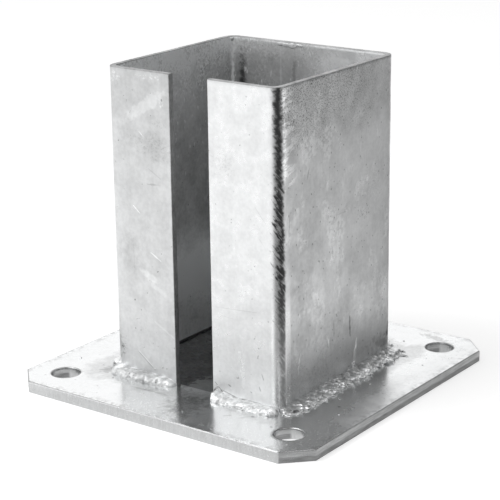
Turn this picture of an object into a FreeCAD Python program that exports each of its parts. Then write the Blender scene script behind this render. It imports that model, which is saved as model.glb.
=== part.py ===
"""Timber post base: a square folded sleeve, slotted down one face, welded to a base plate.

Millimetres. The origin is the centre of the plate's underside, +Z is up, and the slotted
face of the sleeve looks along -Y.
"""
import FreeCAD
import Part
import math
import os

# Base plate
PLATE_SIDE = 170.0
PLATE_THICKNESS = 5.5
PLATE_CORNER_CUT = 12.0
PLATE_EDGE_ROUND = 0.5
BOLT_SPACING = 132.0
BOLT_HOLE_DIAMETER = 14.0
HOLE_RIM_CHAMFER = 0.4

# Sleeve, folded from one sheet; the slot is the gap between the sheet's two ends
POST_CLEARANCE = 92.0
SHEET_THICKNESS = 3.0
BEND_INSIDE_RADIUS = 3.5
SLEEVE_HEIGHT = 150.0
SLOT_WIDTH = 21.5
SLEEVE_EDGE_ROUND = 0.3

# Fillet welds along the foot of the sleeve
WELD_REACH = 5.4
WELD_CLIMB = 4.8
WELD_BULGE = 0.6
RIPPLE_SHARE = 0.06
RIPPLE_PITCH = 4.6
STATIONS_PER_RIPPLE = 4
TAPER_LENGTH = 7.0
SLOT_GAP = 0.5
CORNER_WRAP_DEGREES = 43.0
SEAT_OVERLAP = 0.6

SLEEVE_SIDE = POST_CLEARANCE + 2 * SHEET_THICKNESS
BEND_OUTSIDE_RADIUS = BEND_INSIDE_RADIUS + SHEET_THICKNESS
FLAT_HALF = SLEEVE_SIDE / 2 - BEND_OUTSIDE_RADIUS


def vec(x, y, z=0.0):
    """Return a FreeCAD vector."""
    return FreeCAD.Vector(x, y, z)


def closed_face(points):
    """Return the flat face bounded by straight lines through the points."""
    return Part.Face(Part.makePolygon(points + points[:1]))


def edges_at_height(shape, height):
    """Return the edges that lie wholly in the plane z = height."""
    return [
        edge
        for edge in shape.Edges
        if abs(edge.BoundBox.ZMin - height) < 1e-4 and abs(edge.BoundBox.ZMax - height) < 1e-4
    ]


def corner_cut_square(side, cut):
    """Return a square face with its four corners cut off at 45 degrees."""
    half = side / 2
    inner = half - cut
    points = []
    for turn in range(4):
        angle = math.radians(90 * turn)
        for x, y in ((half, -inner), (half, inner)):
            points.append(
                vec(
                    x * math.cos(angle) - y * math.sin(angle),
                    x * math.sin(angle) + y * math.cos(angle),
                )
            )
    return closed_face(points)


def rounded_square(side, radius, height):
    """Return an upright square bar with rounded upright edges, standing on z = 0."""
    bar = Part.makeBox(side, side, height, vec(-side / 2, -side / 2))
    upright = [edge for edge in bar.Edges if edge.BoundBox.ZLength > height / 2]
    return bar.makeFillet(radius, upright)


def bolt_centres():
    """Return the four bolt hole centres on the plate."""
    half = BOLT_SPACING / 2
    return [(x, y) for x in (-half, half) for y in (-half, half)]


def make_base_plate():
    """Return the plate: corners cut, four bolt holes, and every rim eased."""
    plate = corner_cut_square(PLATE_SIDE, PLATE_CORNER_CUT).extrude(vec(0, 0, PLATE_THICKNESS))
    rims = edges_at_height(plate, 0.0) + edges_at_height(plate, PLATE_THICKNESS)
    plate = plate.makeFillet(PLATE_EDGE_ROUND, rims)
    for x, y in bolt_centres():
        drill = Part.makeCylinder(BOLT_HOLE_DIAMETER / 2, PLATE_THICKNESS, vec(x, y))
        plate = plate.cut(drill)
    hole_rims = [
        edge
        for edge in plate.Edges
        if isinstance(edge.Curve, Part.Circle)
        and abs(edge.Curve.Radius - BOLT_HOLE_DIAMETER / 2) < 1e-4
    ]
    return plate.makeChamfer(HOLE_RIM_CHAMFER, hole_rims)


def make_post_sleeve():
    """Return the sleeve: one folded sheet, open along the slot, standing on the plate."""
    outside = rounded_square(SLEEVE_SIDE, BEND_OUTSIDE_RADIUS, SLEEVE_HEIGHT)
    inside = rounded_square(POST_CLEARANCE, BEND_INSIDE_RADIUS, SLEEVE_HEIGHT)
    slot = Part.makeBox(
        SLOT_WIDTH,
        3 * SHEET_THICKNESS,
        SLEEVE_HEIGHT,
        vec(-SLOT_WIDTH / 2, -SLEEVE_SIDE / 2 - SHEET_THICKNESS),
    )
    sleeve = outside.cut(inside).cut(slot)
    sleeve = sleeve.makeFillet(SLEEVE_EDGE_ROUND, edges_at_height(sleeve, SLEEVE_HEIGHT))
    return sleeve.translated(vec(0, 0, PLATE_THICKNESS))


def foot_station(distance):
    """Return the place on a sleeve foot line, seen from the middle of the -Y face.

    A distance along the flat runs straight; past the flat it follows the rounded bend.

    Args:
        distance: Travel along the foot line from the face's middle, + towards +X.

    Returns:
        The foot point (x, y) and the outward direction there (x, y).
    """
    sign = 1.0 if distance >= 0 else -1.0
    travel = abs(distance)
    if travel <= FLAT_HALF:
        return (distance, -SLEEVE_SIDE / 2), (0.0, -1.0)
    angle = (travel - FLAT_HALF) / BEND_OUTSIDE_RADIUS
    out = (sign * math.sin(angle), -math.cos(angle))
    centre = (sign * FLAT_HALF, -FLAT_HALF)
    foot = (
        centre[0] + BEND_OUTSIDE_RADIUS * out[0],
        centre[1] + BEND_OUTSIDE_RADIUS * out[1],
    )
    return foot, out


def weld_size(distance, start, end, start_size, end_size):
    """Return the size of a weld at one distance: eased at its ends, rippled all along.

    Args:
        distance: The place on the foot line.
        start: Where the weld begins.
        end: Where it ends.
        start_size: Its size at the start, as a share of the full section.
        end_size: Its size at the end, as a share of the full section.
    """
    size = 1.0
    for gap, tip in ((distance - start, start_size), (end - distance, end_size)):
        if gap < TAPER_LENGTH:
            size *= tip + (1 - tip) * math.sin(gap / TAPER_LENGTH * math.pi / 2)
    phase = (distance - start) / RIPPLE_PITCH
    return size * (1 + RIPPLE_SHARE * math.cos(2 * math.pi * phase))


def weld_section(distance, size):
    """Return one cross-section wire of a weld, running a little into sheet and plate."""
    foot, out = foot_station(distance)
    reach = WELD_REACH * size
    climb = WELD_CLIMB * size
    bulge = WELD_BULGE * size
    outline = (
        (-SEAT_OVERLAP, -SEAT_OVERLAP),
        (reach, -SEAT_OVERLAP),
        (reach, 0.1 * climb),
        (reach / 2 + bulge, climb / 2 + bulge),
        (0.1 * reach, climb),
        (-SEAT_OVERLAP, climb),
    )
    points = [
        vec(foot[0] + out[0] * away, foot[1] + out[1] * away, PLATE_THICKNESS + up)
        for away, up in outline
    ]
    return Part.makePolygon(points + points[:1])


def make_weld(run, plate, sleeve):
    """Return one fillet weld, trimmed to sit on the faces of the sleeve and the plate.

    Args:
        run: Start and end on the foot line of the -Y face, the sizes there, and how many
            quarter turns about +Z carry the weld to its own face.
        plate: The base plate solid.
        sleeve: The post sleeve solid.

    Returns:
        The weld as one solid.
    """
    start, end, start_size, end_size, quarter_turns = run
    count = round((end - start) / RIPPLE_PITCH * STATIONS_PER_RIPPLE)
    sections = []
    for step in range(count + 1):
        distance = start + (end - start) * step / count
        size = weld_size(distance, start, end, start_size, end_size)
        sections.append(weld_section(distance, size))
    bead = Part.makeLoft(sections, True, True)
    bead.rotate(vec(0, 0, 0), vec(0, 0, 1), 90 * quarter_turns)
    bead = bead.cut(sleeve).cut(plate)
    return max(bead.Solids, key=lambda solid: solid.Volume)


def main():
    """Build every piece and write each one to its own file."""
    os.makedirs("parts", exist_ok=True)
    plate = make_base_plate()
    sleeve = make_post_sleeve()
    pieces = {"base_plate": plate, "post_sleeve": sleeve}
    corner = FLAT_HALF + math.radians(CORNER_WRAP_DEGREES) * BEND_OUTSIDE_RADIUS
    slot_side = SLOT_WIDTH / 2 + SLOT_GAP
    weld_runs = {
        "weld_front_left": (-corner, -slot_side, 0.9, 0.65, 0),
        "weld_front_right": (slot_side, corner, 1.15, 0.75, 0),
        "weld_right": (-corner, corner, 0.75, 0.9, 1),
        "weld_back": (-corner, corner, 0.9, 0.8, 2),
        "weld_left": (-corner, corner, 0.8, 0.9, 3),
    }
    for name, run in weld_runs.items():
        pieces[name] = make_weld(run, plate, sleeve)
    for name, shape in pieces.items():
        shape.exportStep(f"parts/{name}.step")


main()
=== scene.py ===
"""Dresses the timber post base: a folded zinc-coated sleeve welded to a bolt-down plate.

Metres, in the same frame as the solids: the origin is the centre of the plate's underside,
+Z is up and the slotted face of the sleeve looks along -Y.
"""

import logging
import math
import random
from collections.abc import Iterable
from dataclasses import dataclass, field
from enum import Enum

import bmesh
import bpy
from mathutils import Matrix, Vector, noise


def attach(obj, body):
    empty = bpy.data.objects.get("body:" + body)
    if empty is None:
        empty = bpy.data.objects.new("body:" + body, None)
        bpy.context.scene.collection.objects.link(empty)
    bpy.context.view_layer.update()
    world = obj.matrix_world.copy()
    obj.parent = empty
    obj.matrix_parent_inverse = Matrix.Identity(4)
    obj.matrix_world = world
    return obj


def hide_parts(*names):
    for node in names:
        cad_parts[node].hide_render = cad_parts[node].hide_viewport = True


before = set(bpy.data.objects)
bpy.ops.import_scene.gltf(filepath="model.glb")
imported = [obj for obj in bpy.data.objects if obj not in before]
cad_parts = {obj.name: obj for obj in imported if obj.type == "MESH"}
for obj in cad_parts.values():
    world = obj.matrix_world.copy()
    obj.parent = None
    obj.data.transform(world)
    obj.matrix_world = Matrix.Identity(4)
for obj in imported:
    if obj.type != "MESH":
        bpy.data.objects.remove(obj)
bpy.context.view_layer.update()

LOG = logging.getLogger("post_base")
MM = 0.001
UP = Vector((0, 0, 1))
QUARTER_TURN = math.pi / 2
Socket = bpy.types.NodeSocket
Pair = tuple[float, float]
Triple = tuple[float, float, float]
Elements = list[bmesh.types.BMVert | bmesh.types.BMEdge | bmesh.types.BMFace]

# The post base's own measures, which its pieces share
SLEEVE_SIDE = 98.0 * MM
BEND_RADIUS = 6.5 * MM
SLEEVE_HEIGHT = 150.0 * MM
SHEET = 3.0 * MM
PLATE_SIDE = 170.0 * MM
PLATE_TOP = 5.5 * MM
HALF_SIDE = SLEEVE_SIDE / 2
FLAT_HALF = HALF_SIDE - BEND_RADIUS


class Ray(Enum):
    """The kinds of ray that see the white surroundings."""

    CAMERA = "Is Camera Ray"
    GLOSSY = "Is Glossy Ray"
    TRANSMISSION = "Is Transmission Ray"


class Side(Enum):
    """The sleeve's four sides, in quarter turns from the slotted one."""

    FRONT = 0
    RIGHT = 1
    BACK = 2
    LEFT = 3


class Axis(Enum):
    """The axis that a flat face looks along."""

    X = 0
    Y = 1
    Z = 2


class NodeBoard:
    """A node tree with short calls to place nodes and join them."""

    def __init__(self, tree: bpy.types.NodeTree) -> None:
        """Empty the tree of a material or of the world, and keep it."""
        self.tree = tree
        tree.nodes.clear()

    def place(
        self, kind: str, inputs: dict[str | int, object] | None = None, **settings: object
    ) -> bpy.types.Node:
        """Add one node.

        Args:
            kind: The node's type name, without the ShaderNode in front.
            inputs: Values, wires or sockets for its inputs, by name or by number.
            settings: Properties of the node itself.

        Returns:
            The new node.
        """
        node = self.tree.nodes.new(f"ShaderNode{kind}")
        for key, value in settings.items():
            setattr(node, key, value)
        for key, value in (inputs or {}).items():
            source = getattr(value, "socket", value)
            if isinstance(source, Socket):
                self.tree.links.new(source, node.inputs[key])
            else:
                node.inputs[key].default_value = source
        return node

    def maths(
        self, operation: str, first: "Value", second: "Value" = 0.0, clamp: bool = False
    ) -> "Shade":
        """Return the result of a Math node on one or two values."""
        node = self.place("Math", {0: first, 1: second}, operation=operation, use_clamp=clamp)
        return Shade(self, node.outputs[0])

    def blend(
        self, factor: "Value", first: "Colour", second: "Colour", mode: str = "MIX"
    ) -> "Shade":
        """Return two colours mixed by a factor.

        Args:
            factor: 0 for the first colour, 1 for the second.
            first: The colour under it.
            second: The colour over it.
            mode: The way of mixing.

        Returns:
            The mixed colour.
        """
        first, second = (c if isinstance(c, Shade) else (*c, 1.0) for c in (first, second))
        colours = {0: factor, 6: first, 7: second}
        return Shade(
            self, self.place("Mix", colours, data_type="RGBA", blend_type=mode).outputs[2]
        )

    def spot(self, kind: str) -> "Place":
        """Return a place from the Texture Coordinate node."""
        return Place(self, self.place("TexCoord").outputs[kind])

    def ray(self, kind: Ray) -> "Shade":
        """Return 1 for one kind of ray and 0 for the others."""
        return Shade(self, self.place("LightPath").outputs[kind.value])


@dataclass(frozen=True)
class Wire:
    """A socket of a node tree, with the board that it belongs to.

    Attributes:
        board: The node tree's board.
        socket: The socket.
    """

    board: NodeBoard
    socket: Socket


class Shade(Wire):
    """A value or a colour that nodes work out. Arithmetic on it places Math nodes."""

    def __add__(self, other: "Value") -> "Shade":
        """Return the sum of two values."""
        return self.board.maths("ADD", self, other)

    def __radd__(self, other: float) -> "Shade":
        """Return the sum of a plain number and this value."""
        return self.board.maths("ADD", other, self)

    def __sub__(self, other: "Value") -> "Shade":
        """Return this value less another."""
        return self.board.maths("SUBTRACT", self, other)

    def __rsub__(self, other: float) -> "Shade":
        """Return a plain number less this value."""
        return self.board.maths("SUBTRACT", other, self)

    def __mul__(self, other: "Value") -> "Shade":
        """Return the product of two values or masks."""
        return self.board.maths("MULTIPLY", self, other)

    def __abs__(self) -> "Shade":
        """Return the value without its sign."""
        return self.board.maths("ABSOLUTE", self)

    def ramp(
        self, low: float, high: float, bottom: "Value" = 0.0, top: "Value" = 1.0
    ) -> "Shade":
        """Carry this value smoothly from one span to another, and hold it there.

        Args:
            low: The value that gives bottom. It may be the larger one.
            high: The value that gives top.
            bottom: What comes out at low and past it.
            top: What comes out at high and past it.

        Returns:
            The new value.
        """
        spans = {"From Min": low, "From Max": high, "To Min": bottom, "To Max": top}
        node = self.board.place(
            "MapRange", {"Value": self, **spans}, interpolation_type="SMOOTHSTEP"
        )
        return Shade(self.board, node.outputs["Result"])

    def choose(self, outside: "Value", inside: "Value") -> "Shade":
        """Return one value where this mask is 0 and another where it is 1."""
        return self.ramp(0, 1, outside, inside)

    def held(self, low: float, high: float) -> "Shade":
        """Return this value held between two limits."""
        node = self.board.place("Clamp", {"Value": self, "Min": low, "Max": high})
        return Shade(self.board, node.outputs[0])


class Place(Wire):
    """Where a pattern is read: a point of the surface, moved or stretched."""

    def axes(self) -> tuple[Shade, ...]:
        """Return the x, y and z of this place."""
        node = self.board.place("SeparateXYZ", {"Vector": self})
        return tuple(Shade(self.board, output) for output in node.outputs)

    def length(self) -> Shade:
        """Return how far this place is from its origin."""
        node = self.board.place("VectorMath", {0: self}, operation="LENGTH")
        return Shade(self.board, node.outputs["Value"])

    def stretch(
        self, scale: Triple = (1, 1, 1), turn: Triple = (0, 0, 0), shift: Triple = (0, 0, 0)
    ) -> "Place":
        """Scale, turn and shift this place, for streaks.

        Args:
            scale: How much each axis is scaled.
            turn: Its turn about the axes, in degrees.
            shift: How far it is moved.

        Returns:
            The new place.
        """
        turns = tuple(math.radians(angle) for angle in turn)
        inputs = {"Vector": self, "Scale": scale, "Rotation": turns, "Location": shift}
        return Place(self.board, self.board.place("Mapping", inputs).outputs["Vector"])

    def speckle(self, size: float, detail: float = 2.0, rough: float = 0.5) -> Shade:
        """Return a cloudy value, about 0.3 to 0.7, whose patches are about size metres wide."""
        inputs = {"Vector": self, "Scale": 0.5 / size, "Detail": detail, "Roughness": rough}
        return Shade(self.board, self.board.place("TexNoise", inputs).outputs["Fac"])

    def grains(self, size: float, share: float = 0.5) -> Shade:
        """Return a mask of fine grains that cover about a share, 0 to 1, of the surface."""
        edge = 0.68 - 0.3 * share
        return self.speckle(size, 2.0, 0.7).ramp(edge, edge + 0.08)

    def dots(self, spacing: float, radius: float, share: "Value") -> Shade:
        """Return a mask of small scattered dots.

        Args:
            spacing: Distance between neighbouring dots where they are thickest.
            radius: Radius of a dot.
            share: Share of the dots that show, from 0 to 1.

        Returns:
            The mask.
        """
        cells = self.board.place("TexVoronoi", {"Vector": self, "Scale": 1 / spacing}).outputs
        lot = Place(self.board, cells["Color"]).axes()[0]
        size = radius / spacing
        disc = Shade(self.board, cells["Distance"]).ramp(1.15 * size, 0.7 * size)
        return (lot + share).ramp(0.98, 1.02) * disc


Value = float | Shade
Colour = Triple | Shade


@dataclass(frozen=True)
class Mark:
    """One small mark in the zinc: a scratch, a stain or a bright rub.

    Attributes:
        centre: Its middle, in millimetres.
        half: Half its size along its own axes, in millimetres.
        turn: Its turn about the axes, in degrees.
        change: How much lighter (+) or darker (-) it makes the zinc.
        grainy: Whether it shows only in fine grains.
        soft: Share of its size over which it fades out.
    """

    centre: Triple
    half: Triple
    turn: Triple
    change: float
    grainy: bool = False
    soft: float = 0.45

    def mask(self, place: Place, ragged: Shade) -> Shade:
        """Draw the mark.

        Args:
            place: Where the pattern is read.
            ragged: What makes the mark's edge uneven.

        Returns:
            1 inside the mark and 0 outside it.
        """
        inputs = {
            "Vector": place,
            "Location": tuple(value * MM for value in self.centre),
            "Rotation": tuple(math.radians(angle) for angle in self.turn),
            "Scale": tuple(value * MM for value in self.half),
        }
        local = place.board.place("Mapping", inputs, vector_type="TEXTURE")
        far = Place(place.board, local.outputs[0]).length()
        return (far + ragged).ramp(1.0, 1.0 - self.soft)


def marks_on(
    axis: Axis, level: float, reach: float, rows: Iterable[tuple[float, ...]]
) -> tuple[Mark, ...]:
    """Lay marks on one flat face.

    Args:
        axis: The axis that the face looks along.
        level: Where the face lies on it, in millimetres.
        reach: Half the depth of the marks along it, in millimetres.
        rows: For each mark its middle and its half sizes along the face's two axes, its turn
            on the face, its change, and where they aren't the usual ones grainy and soft.

    Returns:
        The marks.
    """
    marks = []
    for first, second, wide, high, turn, *rest in rows:
        centre, half, turns = [first, second], [wide, high], [0.0, 0.0]
        for values, across in ((centre, level), (half, reach), (turns, turn)):
            values.insert(axis.value, across)
        marks.append(Mark(tuple(centre), tuple(half), tuple(turns), *rest))
    return tuple(marks)


@dataclass(frozen=True)
class ZincFinish:
    """Hot-dip zinc: a mottled, finely pitted metal coat.

    Attributes:
        name: The material's name.
        tone: Grey of the clean coat.
        cloud: Size of the broad patches, and how much they lighten and darken.
        mottle: Size of the fine patches, and how much they lighten and darken.
        grain: Size of the grain, and how much it lightens and darkens.
        pits: Size of the dark specks, their share from 0 to 1, and their depth of tone.
        shine: Roughness of the clean coat, and what the patches add.
        fade: How much rougher the coat is where it is darker.
        metal: How metallic the coat is, from 0 to 1.
        tint: The faint colour of the metal.
        relief: Height of the skin's fine relief.
        grey_limits: The darkest and the lightest that the coat gets.
        shine_limits: The smoothest and the roughest that it gets.
        marks: Marks at places of their own.
    """

    name: str
    tone: float
    cloud: Pair = (16 * MM, 0.06)
    mottle: Pair = (4 * MM, 0.05)
    grain: Pair = (0.9 * MM, 0.05)
    pits: Triple = (0.9 * MM, 0.25, 0.30)
    shine: Pair = (0.27, 0.12)
    fade: float = 0.35
    metal: float = 0.95
    tint: Triple = (0.985, 0.995, 1.0)
    relief: float = 0.010 * MM
    grey_limits: Pair = (0.05, 0.99)
    shine_limits: Pair = (0.12, 0.7)
    marks: tuple[Mark, ...] = ()

    def base(self, place: Place) -> Value:
        """Return the grey of the clean coat at each place."""
        return self.tone

    def wear(self, place: Place, grey: Value) -> Value:
        """Return the grey after this piece's own wear."""
        return grey

    def skin(self, place: Place, pit: Shade) -> Shade:
        """Return the height of the fine relief, in shares of the relief field."""
        return place.speckle(1.1 * MM, 3.0, 0.65) - pit * 0.8

    def polish(self, place: Place, rough: Shade) -> Shade:
        """Return the roughness after this piece's own wear."""
        return rough

    def patches(self, place: Place, size: float, depth: float, detail: float = 3.0) -> Shade:
        """Return a cloudy change of tone, from -depth to +depth."""
        return place.speckle(size, detail, 0.6).ramp(0.3, 0.7, -depth, depth)

    def marked(self, place: Place, grey: Value) -> Value:
        """Lay every mark over the coat.

        Args:
            place: Where the pattern is read.
            grey: The grey so far.

        Returns:
            The new grey.
        """
        if not self.marks:
            return grey
        ragged = place.speckle(1.2 * MM, 3.0).ramp(0.2, 0.8, -0.35, 0.35)
        grain = place.stretch(shift=(2, 2, 1)).grains(0.42 * MM)
        for mark in self.marks:
            mask = mark.mask(place, ragged)
            grey = grey + (mask * grain if mark.grainy else mask) * mark.change
        return grey

    def make(self) -> bpy.types.Material:
        """Mix the finish.

        Returns:
            The finished material.
        """
        material = bpy.data.materials.new(self.name)
        material.use_nodes = True
        board = NodeBoard(material.node_tree)
        place = board.spot("Object")
        mottle = self.patches(place, *self.mottle)
        grey = self.base(place) + self.patches(place, *self.cloud, 4.0)
        grey = grey + mottle + self.patches(place, *self.grain, 2.0)
        size, share, depth = self.pits
        edge = 0.80 - 0.22 * share
        pit = place.stretch(shift=(3, 1, 2)).speckle(size, 1.0).ramp(edge, edge + 0.06)
        grey = self.wear(place, self.marked(place, grey - pit * depth))
        grey = grey.held(*self.grey_limits)
        rough = (self.tone - grey) * self.fade + self.shine[0]
        rough = rough + mottle.ramp(-0.05, 0.05, self.shine[1], 0)
        height = {"Strength": 1.0, "Distance": self.relief, "Height": self.skin(place, pit)}
        coat = {
            "Base Color": board.blend(1.0, grey, self.tint, "MULTIPLY"),
            "Metallic": self.metal,
            "Roughness": self.polish(place, rough).held(*self.shine_limits),
            "Normal": board.place("Bump", height).outputs["Normal"],
        }
        shader = board.place("BsdfPrincipled", coat)
        board.place("OutputMaterial", {"Surface": shader.outputs[0]})
        return material


@dataclass(frozen=True)
class SleeveZinc(ZincFinish):
    """The sleeve's outer coat, with painted light on its sides, the near bend's stripe of scuffs
    and painted reflection, and the dull band by the welds.

    Attributes:
        sides: Tone left of the slot, right of it, and on the right side; painted light: lighter
            right of
        the slot, darker left of it and on the right side.
        crown: Heights over which the top of the right side turns dull and speckled.
        crown_dark: How much the crown darkens, and its grains.
        smear_light: How much the slanting smears under the crown lighten.
        rub_light: How much the dry rubs on the right side lighten.
        side_clouds: How much the clouds on the right side lighten and darken.
        foot: Heights over which the weld's heat dulled the foot.
        foot_dark: How much the foot darkens, its grit, and the soot on the slotted side.
        streak: How much the long streaks lighten and darken.
        speck: Spacing, radius, share and darkness of the specks on the right side.
        scuff_and_reflection: Grey of the dark stripe at the foot and higher up; partly scuffed
            zinc, partly a painted reflection of the room's dark side.
        scuff_and_reflection_heights: Heights between which it turns from one to the other.
        scuff_and_reflection_left: Degrees round the bend where it starts, at mid height and at
            the top.
        scuff_and_reflection_right: Degrees round the bend where it ends, at mid height and at the
            top.
        hair_light: How much the fine hairs in it lighten.
        lead_light: How much the bend lightens on the left of the stripe's foot.
        strip_tone: Grey of the bright strip on the right of it.
    """

    sides: Triple = (0.66, 0.80, 0.68)
    crown: Pair = (118 * MM, 150 * MM)
    crown_dark: Pair = (0.08, 0.34)
    smear_light: float = 0.26
    rub_light: float = 0.12
    side_clouds: float = 0.045
    foot: Pair = (50 * MM, 8 * MM)
    foot_dark: Triple = (0.03, 0.12, 0.04)
    streak: float = 0.012
    speck: tuple[float, ...] = (2.6 * MM, 0.30 * MM, 0.22, 0.34)
    scuff_and_reflection: Pair = (0.40, 0.085)
    scuff_and_reflection_heights: Pair = (22 * MM, 70 * MM)
    scuff_and_reflection_left: Pair = (45.0, 38.0)
    scuff_and_reflection_right: Pair = (74.0, 60.0)
    hair_light: float = 0.42
    lead_light: float = 0.24
    strip_tone: float = 0.97

    def faces(self, x: Shade, y: Shade) -> tuple[Shade, Shade]:
        """Return the masks of the slotted side and of the right side."""
        outer, inner = HALF_SIDE - 0.3 * MM, HALF_SIDE - 2.5 * MM
        return y.ramp(-inner, -outer), x.ramp(inner, outer)

    def base(self, place: Place) -> Shade:
        """Paint light and shade onto the sides by their tone, as the light falls on them.

        Args:
            place: Where the pattern is read.

        Returns:
            The grey of the clean coat, with the sides' painted light and shade.
        """
        x, y, z = place.axes()
        front, right = self.faces(x, y)
        # Painted light: the sides toned lighter and darker as the light falls on them, each
        # flange darker towards one end.
        left_painted_light, right_painted_light, side_painted_shade = self.sides
        low = z.ramp(70 * MM, 14 * MM, right_painted_light, 0.95 * right_painted_light)
        high = z.ramp(105 * MM, 150 * MM, left_painted_light, 0.93 * left_painted_light)
        slotted = x.ramp(-10 * MM, 10 * MM, high, low)
        return right.choose(front.choose(self.tone, slotted), side_painted_shade)

    def bend_turn(self, x: Shade, y: Shade) -> tuple[Shade, Shade]:
        """Measure round the near bend.

        Args:
            x: The place's x.
            y: The place's y.

        Returns:
            The angle round the bend in degrees, and a mask of the near quarter.
        """
        ahead = y * -1.0
        turn = x.board.maths("ARCTAN2", x - FLAT_HALF, ahead - FLAT_HALF) * math.degrees(1)
        return turn, x.ramp(0.0, 20 * MM) * ahead.ramp(0.0, 20 * MM)

    def paint_scuff_and_reflection(self, place: Place, grey: Value, turn: Shade, near: Shade) -> Shade:
        """Paint the dark stripe down the near bend: partly scuffed zinc, partly a painted
        reflection.

        The stripe is smooth at the top; further down slanting strokes fray its left edge.

        Args:
            place: Where the pattern is read.
            grey: The grey so far.
            turn: The angle round the near bend, in degrees.
            near: The mask of the near quarter.

        Returns:
            The new grey.
        """
        z = place.axes()[2]
        unrolled = {"X": turn * (math.radians(1) * BEND_RADIUS), "Y": 0.0, "Z": z}
        strokes = Place(place.board, place.board.place("CombineXYZ", unrolled).outputs[0])
        strokes = strokes.stretch(turn=(0, 35, 0)).stretch((1, 1, 0.12))
        feather = strokes.speckle(0.55 * MM, 3.0, 0.7) - 0.5
        slant = z.ramp(135 * MM, 85 * MM, 26.0, 130.0) * z.ramp(35 * MM, 55 * MM, 0.3, 1.0)
        fray = feather * slant
        middle, top = 60 * MM, 155 * MM
        left_edge = z.ramp(middle, top, *self.scuff_and_reflection_left)
        left_edge = left_edge + z.ramp(52 * MM, 24 * MM, 0.0, 11.0)
        right_edge = z.ramp(middle, top, *self.scuff_and_reflection_right)
        wobble = place.stretch((1, 1, 1.6)).speckle(1.4 * MM, 2.0) - 0.5
        turn = turn + wobble * 34.0
        start = (turn + fray - left_edge).ramp(-16.0, 12.0)
        stop = (turn + fray * 0.4 - right_edge).ramp(16.0, -12.0)
        hairs = strokes.stretch(shift=(0.3, 0, 0)).speckle(0.36 * MM, 2.0, 0.6)
        hairs = hairs.ramp(0.54, 0.68, 0.0, self.hair_light) * z.ramp(142 * MM, 118 * MM)
        # Painted reflection: the stripe's dark grey stands partly for the room's dark side
        # reflected in the bend, partly for scuffed zinc.
        stripe = z.ramp(*self.scuff_and_reflection_heights, *self.scuff_and_reflection) + hairs
        return (start * stop * near).choose(grey, stripe)

    def crowned(self, place: Place, grey: Value, height: Shade) -> Value:
        """Wear the right side: its speckled crown, smears, pale rubs and clouds.

        Args:
            place: Where the pattern is read.
            grey: The grey so far.
            height: The height, made uneven.

        Returns:
            The new grey.
        """
        x, y, z = place.axes()
        _, right = self.faces(x, y)
        crown = height.ramp(*self.crown) * right
        dense = y.ramp(42 * MM, 4 * MM, 0.25, 1.0)
        grey = grey - crown * self.crown_dark[0]
        grey = grey - crown * dense * place.grains(0.36 * MM, 0.55) * self.crown_dark[1]
        smears = place.stretch(turn=(-14, 0, 0)).stretch((1, 0.34, 1))
        smears = smears.speckle(1.5 * MM, 3.0, 0.65).ramp(0.50, 0.60) * right
        corner = y.ramp(-32 * MM, -40 * MM)
        grey = grey + smears * corner * z.ramp(98 * MM, 116 * MM) * self.smear_light
        rubs = place.stretch((1, 1, 0.55), shift=(1, 4, 2)).speckle(6 * MM, 4.0, 0.65)
        rubs = rubs.ramp(0.53, 0.64) * right * place.grains(1.1 * MM, 0.8)
        grey = grey + rubs * z.ramp(20 * MM, 70 * MM, 0.6, 1) * self.rub_light
        clouds = place.stretch((1, 1, 0.8), shift=(5, 2, 6)).speckle(9 * MM, 3.0, 0.6)
        return grey + clouds.ramp(0.35, 0.65, -self.side_clouds, self.side_clouds) * right

    def wear(self, place: Place, grey: Value) -> Value:
        """Wear the crown and the foot, and paint the near bend's stripe of scuffs and reflection.

        Args:
            place: Where the pattern is read.
            grey: The grey so far.

        Returns:
            The new grey.
        """
        x, y, z = place.axes()
        front, right = self.faces(x, y)
        blotch = place.stretch(shift=(0.5, 0.2, 0.1)).speckle(11 * MM, 4.0, 0.6)
        height = z + (blotch - 0.5) * (60 * MM)
        grey = self.crowned(place, grey, height)
        dull, gritty, sooty = self.foot_dark
        foot = height.ramp(*self.foot) * right
        grey = grey - foot * dull
        grey = grey - foot * y.ramp(22 * MM, -8 * MM) * place.grains(0.4 * MM) * gritty
        grey = grey - height.ramp(22 * MM, 6 * MM) * front * sooty
        streaks = place.stretch((1, 1, 0.06)).speckle(1.6 * MM, 3.0, 0.6)
        grey = grey + streaks.ramp(0.3, 0.7, -self.streak, self.streak)
        *dots, dark = self.speck
        grey = grey - place.stretch((1, 1, 0.6)).dots(*dots) * right * dark
        turn, near = self.bend_turn(x, y)
        grey = self.paint_scuff_and_reflection(place, grey, turn, near)
        lead = turn.ramp(12.0, 26.0) * turn.ramp(54.0, 42.0) * near
        grey = grey + lead * z.ramp(72 * MM, 42 * MM) * self.lead_light
        strip = turn.ramp(73.0, 82.0) * turn.ramp(120.0, 102.0) * near
        strip = strip * z.ramp(84 * MM, 34 * MM)
        strip = strip * place.speckle(0.7 * MM, 2.0, 0.7).ramp(0.34, 0.48, 0.75, 1)
        return strip.choose(grey, self.strip_tone)


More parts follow.
